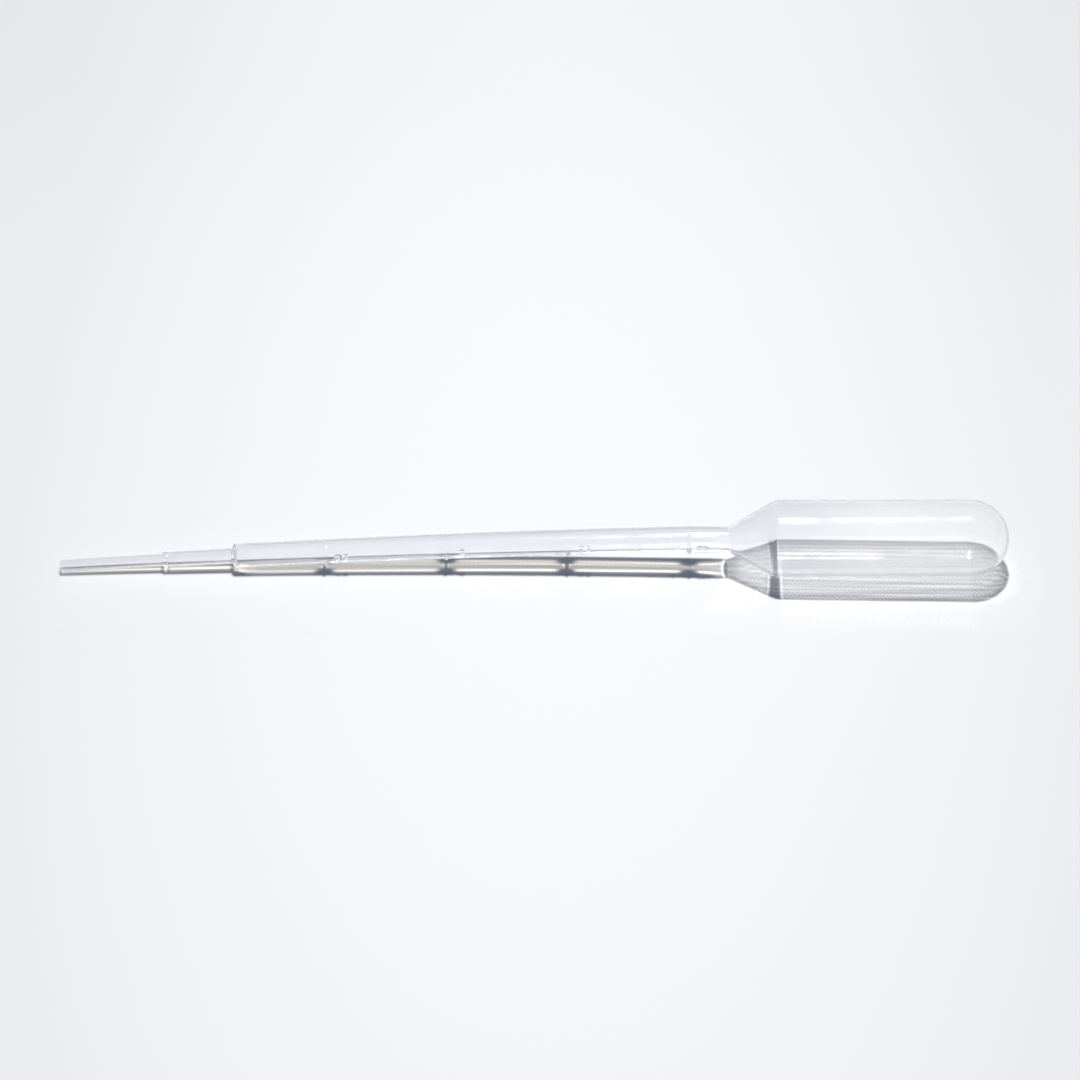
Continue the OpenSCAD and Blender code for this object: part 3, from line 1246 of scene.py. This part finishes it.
    def bend(
        self, ways: np.ndarray, faces: np.ndarray, places: np.ndarray, inside: np.ndarray, ior: float
    ) -> tuple[np.ndarray, np.ndarray, np.ndarray]:
        """Splits light at a face of the wall, by Snell's and Fresnel's laws.

        Args:
            ways: Directions that the light comes in.
            faces: The faces that it meets.
            places: Where it meets them.
            inside: Whether it comes through the plastic.
            ior: How strongly the plastic bends it.

        Returns:
            Directions let through, directions thrown back, and the share thrown back.
        """
        turned = np.where(inside, -1.0, 1.0)[:, None]
        normal = self.smooth(faces, places) * turned
        grazing = -(ways * normal).sum(1) <= self.graze
        normal = np.where(grazing[:, None], self.flat[faces] * turned, normal)
        facing = np.maximum(-(ways * normal).sum(1), self.tiny)
        ratio = np.where(inside, ior, 1 / ior)
        left = 1 - ratio**2 * (1 - facing**2)
        beyond = np.sqrt(np.maximum(left, 0))
        before, after = np.where(inside, ior, 1.0), np.where(inside, 1.0, ior)
        upright = (before * facing - after * beyond) / (before * facing + after * beyond)
        level = (before * beyond - after * facing) / (before * beyond + after * facing)
        back = np.where(left < 0, 1.0, (upright**2 + level**2) / 2)
        through = ratio[:, None] * ways + (ratio * facing - beyond)[:, None] * normal
        return self.unit(through), self.unit(ways + 2 * facing[:, None] * normal), back

    def follow(
        self,
        starts: np.ndarray,
        ways: np.ndarray,
        inside: np.ndarray,
        light: np.ndarray,
        kind: np.ndarray,
        ior: float,
    ) -> tuple[np.ndarray, np.ndarray]:
        """Follows rays from the wall until they reach the board.

        Args:
            starts: Where they start. These arrays are used up.
            ways: Their directions.
            inside: Whether they start in the plastic.
            light: How much light each one carries, lessened as it goes.
            kind: A number that tells apart rays that took different ways.
            ior: How strongly the plastic bends them.

        Returns:
            Where they land, NaN for those that never do, and how much plastic each one goes through, in
            mm of the clearest.
        """
        landed = np.full((len(starts), 2), np.nan)
        depth = np.zeros(len(starts))
        live = np.arange(len(starts))
        for _ in range(self.most_turns):
            start, way = starts[live], ways[live]
            faces, gaps = self.cast(start + way * self.lift, way)
            gaps = gaps + self.lift
            falling = np.minimum(way[:, 2], -self.tiny)
            fall = np.where(way[:, 2] < -self.tiny, -start[:, 2] / falling, np.inf)
            down = ~inside[live] & (fall < gaps) & np.isfinite(fall)
            landed[live[down]] = (start[down] + way[down] * fall[down][:, None])[:, :2]
            on = ~down & (faces >= 0)
            live, faces = live[on], faces[on]
            places = start[on] + way[on] * gaps[on][:, None]
            plastic = np.where(inside[live], gaps[on], 0.0)
            depth[live] += plastic * self.cloud(places[:, 0])
            light[live] *= self.left_by_rings(places, plastic)
            leaving = (ways[live] * self.flat[faces]).sum(1) > 0
            right = leaving == inside[live]
            live, faces, places = live[right], faces[right], places[right]
            within = inside[live]
            through, mirrored, back = self.bend(ways[live], faces, places, within, ior)
            kept = back >= 1
            ways[live] = np.where(kept[:, None], mirrored, through)
            light[live] *= np.where(kept, 1.0, 1 - back)
            inside[live] = np.where(kept, within, ~within)
            kind[live] = kind[live] * 4 + np.where(kept, 2, 1)
            starts[live] = places
            live = live[light[live] > self.least_light]
            if not len(live):
                break
        return landed, depth

    def drop(self, image: np.ndarray, x: np.ndarray, y: np.ndarray, light: np.ndarray) -> None:
        """Adds spots of light to the four cells round each of them.

        Args:
            image: The cells, which are changed.
            x: Where the spots are along the board.
            y: Where they are across it.
            light: How much each one brings.
        """
        wide, deep = image.shape
        across = (x - self.low[0]) / self.cell
        up = (y - self.low[1]) / self.cell
        i, j = np.floor(across).astype(int), np.floor(up).astype(int)
        kept = (i >= 0) & (i < wide - 1) & (j >= 0) & (j < deep - 1)
        i, j, a, b, light = i[kept], j[kept], (across - i)[kept], (up - j)[kept], light[kept]
        shares = ((0, 0, (1 - a) * (1 - b)), (1, 0, a * (1 - b)), (0, 1, (1 - a) * b), (1, 1, a * b))
        for di, dj, share in shares:
            spots = np.bincount((i + di) * deep + j + dj, weights=light * share, minlength=wide * deep)
            image += spots.reshape(wide, deep)

    def spread(self, x: np.ndarray, y: np.ndarray, light: np.ndarray, kind: np.ndarray) -> np.ndarray:
        """Lands the ray grid's patches on the board.

        Args:
            x: Where each ray of the grid lands along the board, NaN where it doesn't.
            y: The same across it.
            light: How much light each ray carries.
            kind: The way that each one took. A patch is whole where its four corners took the same.

        Returns:
            Light on the board's cells, as a share of the bare lamp's.
        """
        shape = tuple(round((h - l) / self.cell) + 1 for l, h in zip(self.low, self.high))
        sharp, loose = np.zeros(shape), np.zeros(shape)
        here, next_on = slice(0, -1), slice(1, None)
        corners = [(here, here), (next_on, here), (here, next_on), (next_on, next_on)]
        there = np.isfinite(x)
        whole = np.ones(x[here, here].shape, dtype=bool)
        for corner in corners:
            whole &= there[corner] & (kind[corner] == kind[here, here])
        for line in (x, y):
            ends = np.stack([np.where(there, line, 0.0)[corner] for corner in corners])
            whole &= ends.max(0) - ends.min(0) < self.patch_width
        share = self.along * self.across / self.cell**2
        held = [(x[c][whole], y[c][whole], light[c][whole]) for c in corners]
        parts = self.patch_parts
        steps = (np.arange(parts) + 0.5) / parts
        for u in steps:
            for v in steps:
                weights = ((1 - u) * (1 - v), u * (1 - v), (1 - u) * v, u * v)
                at = [sum(w * part[k] for w, part in zip(weights, held)) for k in range(3)]
                self.drop(sharp, at[0], at[1], at[2] * share / parts**2)
        for corner in corners:
            single = ~whole & there[corner]
            self.drop(loose, x[corner][single], y[corner][single], light[corner][single] * share / 4)
        return self.blur(sharp, self.soft) + self.blur(loose, self.wide_soft)

    @staticmethod
    def blur(image: np.ndarray, width: float) -> np.ndarray:
        """Softens cells over a width, both ways, as the lamp's size does.

        Args:
            image: The cells.
            width: Standard deviation of the blur, in cells.

        Returns:
            The softened cells.
        """
        reach = int(3 * width) + 1
        bell = np.exp(-0.5 * (np.arange(-reach, reach + 1) / width) ** 2)
        bell /= bell.sum()
        for axis in (0, 1):
            room = [(reach, reach) if k == axis else (0, 0) for k in (0, 1)]
            padded = np.pad(image, room, mode="edge")
            cells = np.arange(image.shape[axis])
            image = sum(weight * np.take(padded, cells + k, axis=axis) for k, weight in enumerate(bell))
        return image

    def one_colour(
        self,
        shadow: np.ndarray,
        met: np.ndarray,
        ways: np.ndarray,
        faces: np.ndarray,
        places: np.ndarray,
        ior: float,
        clear_length: float,
    ) -> np.ndarray:
        """Works out how one colour of light changes on the board, let through the wall and thrown back.

        Args:
            shadow: Light on the board's cells that the wall is in the way of.
            met: Which rays of the grid meet the wall.
            ways: The directions of those that do.
            faces: The faces that they meet.
            places: Where they meet them.
            ior: How strongly the plastic bends this colour.
            clear_length: How much of the clearest plastic leaves a share of 1/e of it, in mm.

        Returns:
            The change on the board's cells, as a share of the bare lamp's light.
        """
        outside = np.zeros(len(ways), dtype=bool)
        through, mirrored, back = self.bend(ways, faces, places, outside, ior)
        change, haze = -shadow, np.zeros(shadow.shape)
        for ways_on, inside, light, first in (
            (through, ~outside, 1 - back, 1),
            (mirrored, outside, back, 3),
        ):
            kind = np.full(len(ways), first, dtype=np.int64)
            landed, depth = self.follow(places.copy(), ways_on, inside, light, kind, ior)
            clear = np.exp(-depth / clear_length)
            down = np.isfinite(landed[:, 0])
            hazy = (light * (1 - clear))[down] * self.haze_share * self.along * self.across
            self.drop(haze, landed[down, 0], landed[down, 1], hazy / self.cell**2)
            grids = []
            for values in (landed[:, 0], landed[:, 1], light * clear, kind):
                grid = np.full(met.shape, np.nan)
                grid[met] = values
                grids.append(grid)
            change = change + self.spread(*grids)
        return change + self.blur(haze, self.haze_spread)

    def fade_out(self, change: np.ndarray) -> np.ndarray:
        """Lets a change die out towards the edges of the board's cells.

        Args:
            change: The change, for each cell and colour.

        Returns:
            The same, smoothly down to 0 at the edges.
        """
        along, across = (np.minimum(np.arange(n), np.arange(n)[::-1]) for n in change.shape[:2])
        edge = np.minimum(along[:, None], across[None, :])[:, :, None]
        share = np.clip(edge / self.fade, 0, 1)
        return change * share * share * (3 - 2 * share)

    def build(self, mesh: bpy.types.Mesh) -> np.ndarray:
        """Works out how much more or less lamplight than bare each cell of the board gets.

        Args:
            mesh: The finished wall.

        Returns:
            The change, 0 where nothing changes and -1 where no lamplight falls.
        """
        self.read(mesh)
        lamp, low, high = np.array(self.lamp), self.points.min(0), self.points.max(0)
        x, y = (
            np.arange(low[k] - self.room_low[k], high[k] + self.room_high[k], gap)
            for k, gap in enumerate((self.along, self.across))
        )
        x, y = np.meshgrid(x, y, indexing="ij")
        ways = self.unit(np.stack([x.ravel(), y.ravel(), np.zeros(x.size)], axis=1) - lamp)
        starts = lamp + ways * ((high[2] + self.room_above - lamp[2]) / ways[:, 2])[:, None]
        faces, gaps = self.cast(starts, ways)
        met = faces >= 0
        LOG.info("lamp pattern: %d rays met the wall", met.sum())
        ways, faces = ways[met], faces[met]
        places = starts[met] + ways * gaps[met][:, None]
        met = met.reshape(x.shape)
        bare = np.ones(x.shape)
        shadow = self.spread(np.where(met, x, np.nan), np.where(met, y, np.nan), bare, bare)
        colours = [
            self.one_colour(shadow, met, ways, faces, places, self.ior + step, clear_length)
            for step, clear_length in zip(self.ior_steps, self.clear_length)
        ]
        return self.fade_out(np.stack(colours, axis=-1))


@dataclass
class Studio:
    """The white table, the small lamp high above and behind it, the room's soft light, and the camera."""

    floor_size: float = 4000.0
    board_z: float = -0.03
    painted_light_board_z: float = -0.02
    lamp_place: Triple = (16.0, 105.0, 700.0)
    lamp_size: float = 24.0
    lamp_power: float = 4.72
    lamp_colour: str = "#FFFCFA"
    sky_colour: str = "#D2E4FF"
    sky_strength: float = 0.15
    target: Triple = (1.072, 4.811, 0.0)
    distance: float = 600.0
    elevation_deg: float = 48.5
    turn_deg: float = -0.951
    focal_length: float = 120.9
    bounces: int = 40

    def board(self, finish: bpy.types.Material) -> None:
        """Lays the board just under the pipette.

        Args:
            finish: Its finish.
        """
        half, z = self.floor_size / 2 * MM, self.board_z * MM
        corners = [(-half, -half, z), (half, -half, z), (half, half, z), (-half, half, z)]
        mesh = bpy.data.meshes.new("board")
        mesh.from_pydata(corners, [], [(0, 1, 2, 3)])
        mesh.materials.append(finish)
        board = bpy.data.objects.new("board", mesh)
        bpy.context.collection.objects.link(board)

    def lit_board(self, pattern: LampPattern, wall: bpy.types.Mesh, finish: bpy.types.Material) -> None:
        """Lays a fine sheet of the board, with the lamp's shadow and bent light painted on as an
        attribute.

        Args:
            pattern: The lamp's light.
            wall: The finished wall, which the light is followed through.
            finish: The board's finish.
        """
        change = pattern.build(wall)
        wide, deep, _ = change.shape
        x = pattern.low[0] + np.arange(wide) * pattern.cell
        y = pattern.low[1] + np.arange(deep) * pattern.cell
        x, y = np.meshgrid(x, y, indexing="ij")
        points = np.stack([x.ravel(), y.ravel(), np.full(x.size, self.painted_light_board_z)], axis=1) * MM
        index = np.arange(x.size).reshape(wide, deep)
        corners = (index[:-1, :-1], index[1:, :-1], index[1:, 1:], index[:-1, 1:])
        quads = np.stack(corners, axis=-1).reshape(-1, 4)
        mesh = bpy.data.meshes.new("lit_board")
        mesh.vertices.add(len(points))
        mesh.vertices.foreach_set("co", points.astype(np.float32).ravel())
        mesh.loops.add(quads.size)
        mesh.loops.foreach_set("vertex_index", quads.astype(np.int32).ravel())
        mesh.polygons.add(len(quads))
        mesh.polygons.foreach_set("loop_start", np.arange(0, quads.size, 4, dtype=np.int32))
        mesh.update(calc_edges=True)
        values = change.astype(np.float32).ravel()
        mesh.attributes.new("lamp_change", "FLOAT_VECTOR", "POINT").data.foreach_set("vector", values)
        mesh.materials.append(finish)
        patch = bpy.data.objects.new("lit_board", mesh)
        bpy.context.collection.objects.link(patch)

    def lamp(self) -> None:
        """Hangs the small round lamp, aimed at the middle of the pipette."""
        light = bpy.data.lights.new("lamp", "AREA")
        light.shape = "DISK"
        light.size = self.lamp_size * MM
        light.energy = self.lamp_power
        # Light that leaves the board through the wall is in the board's painted pattern, so it isn't
        # counted again here.
        light.use_nodes = True
        tree = light.node_tree
        tree.nodes.clear()
        path = add_node(tree, "ShaderNodeLightPath").outputs
        direct = add_node(tree, MATH, (path["Diffuse Depth"], 0.5), operation="LESS_THAN")
        glow = {"Color": linear(self.lamp_colour), "Strength": direct}
        shine = add_node(tree, "ShaderNodeEmission", glow)
        add_node(tree, "ShaderNodeOutputLight", {"Surface": shine})
        lamp = bpy.data.objects.new("lamp", light)
        place = Vector(self.lamp_place) * MM
        lamp.location = place
        lamp.rotation_euler = (-place).to_track_quat("-Z", "Y").to_euler()
        bpy.context.collection.objects.link(lamp)

    def sky(self) -> None:
        """Lights the table softly from all round, and shows glossy and clear surfaces a white studio."""
        world = bpy.data.worlds.new("studio")
        world.use_nodes = True
        tree = world.node_tree
        tree.nodes.clear()
        soft = {"Color": linear(self.sky_colour), "Strength": self.sky_strength}
        white = {"Color": linear(STUDIO_WHITE), "Strength": STUDIO_STRENGTH}
        plain = add_node(tree, "ShaderNodeBackground", soft)
        shown = add_node(tree, "ShaderNodeBackground", white)
        path = add_node(tree, "ShaderNodeLightPath").outputs
        seen = path["Is Camera Ray"]
        for kind in ("Is Glossy Ray", "Is Transmission Ray"):
            seen = add_node(tree, MATH, (seen, path[kind]), operation="MAXIMUM")
        direct = add_node(tree, MATH, (path["Diffuse Depth"], 0.5), operation="LESS_THAN")
        share = add_node(tree, MATH, (seen, direct), operation="MULTIPLY")
        mixed = add_node(tree, "ShaderNodeMixShader", (share, plain, shown))
        add_node(tree, "ShaderNodeOutputWorld", {"Surface": mixed})
        bpy.context.scene.world = world

    def camera(self) -> None:
        """Sets the camera up, looking down at the pipette from its scale's side."""
        rise, turn = math.radians(self.elevation_deg), math.radians(self.turn_deg)
        ahead = Vector((math.sin(turn) * math.cos(rise), math.cos(turn) * math.cos(rise), -math.sin(rise)))
        right = Vector((math.cos(turn), -math.sin(turn), 0.0))
        up = right.cross(ahead)
        data = bpy.data.cameras.new("camera")
        data.sensor_width = 36.0
        data.lens = self.focal_length
        data.clip_start = 0.01
        camera = bpy.data.objects.new("camera", data)
        place = (Vector(self.target) - ahead * self.distance) * MM
        turned = Matrix((right, up, -ahead)).transposed().to_4x4()
        camera.matrix_world = Matrix.Translation(place) @ turned
        bpy.context.collection.objects.link(camera)
        bpy.context.scene.camera = camera

    def build(self, wall: bpy.types.Mesh, rings: list[ThickRing]) -> None:
        """Makes the whole studio.

        Args:
            wall: The finished wall, which the lamp's light is followed through.
            rings: Its thick rings.
        """
        finish = WhiteBoard().build()
        self.board(finish)
        self.lit_board(LampPattern(self.lamp_place, BlownPolyethylene().ior, rings), wall, finish)
        self.lamp()
        self.sky()
        self.camera()
        bpy.context.scene.view_settings.view_transform = "Standard"
        # Light runs round inside the wall many times before it comes out at a rim.
        cycles = bpy.context.scene.cycles
        cycles.max_bounces = cycles.transmission_bounces = cycles.glossy_bounces = self.bounces


def main() -> None:
    """Builds the pipette and its studio."""
    logging.basicConfig(level=logging.INFO, format="%(message)s")
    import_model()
    wall = Wall()
    piece = wall.build(BlownPolyethylene().build())
    # The pipette casts no shadow of its own: its shadow and the light through it are painted into the
    # board's colour.
    piece.visible_shadow = False
    Studio().build(piece.data, wall.thick_rings())
    LOG.info("%s: %d faces", piece.name, len(piece.data.polygons))


if __name__ == "__main__":
    main()
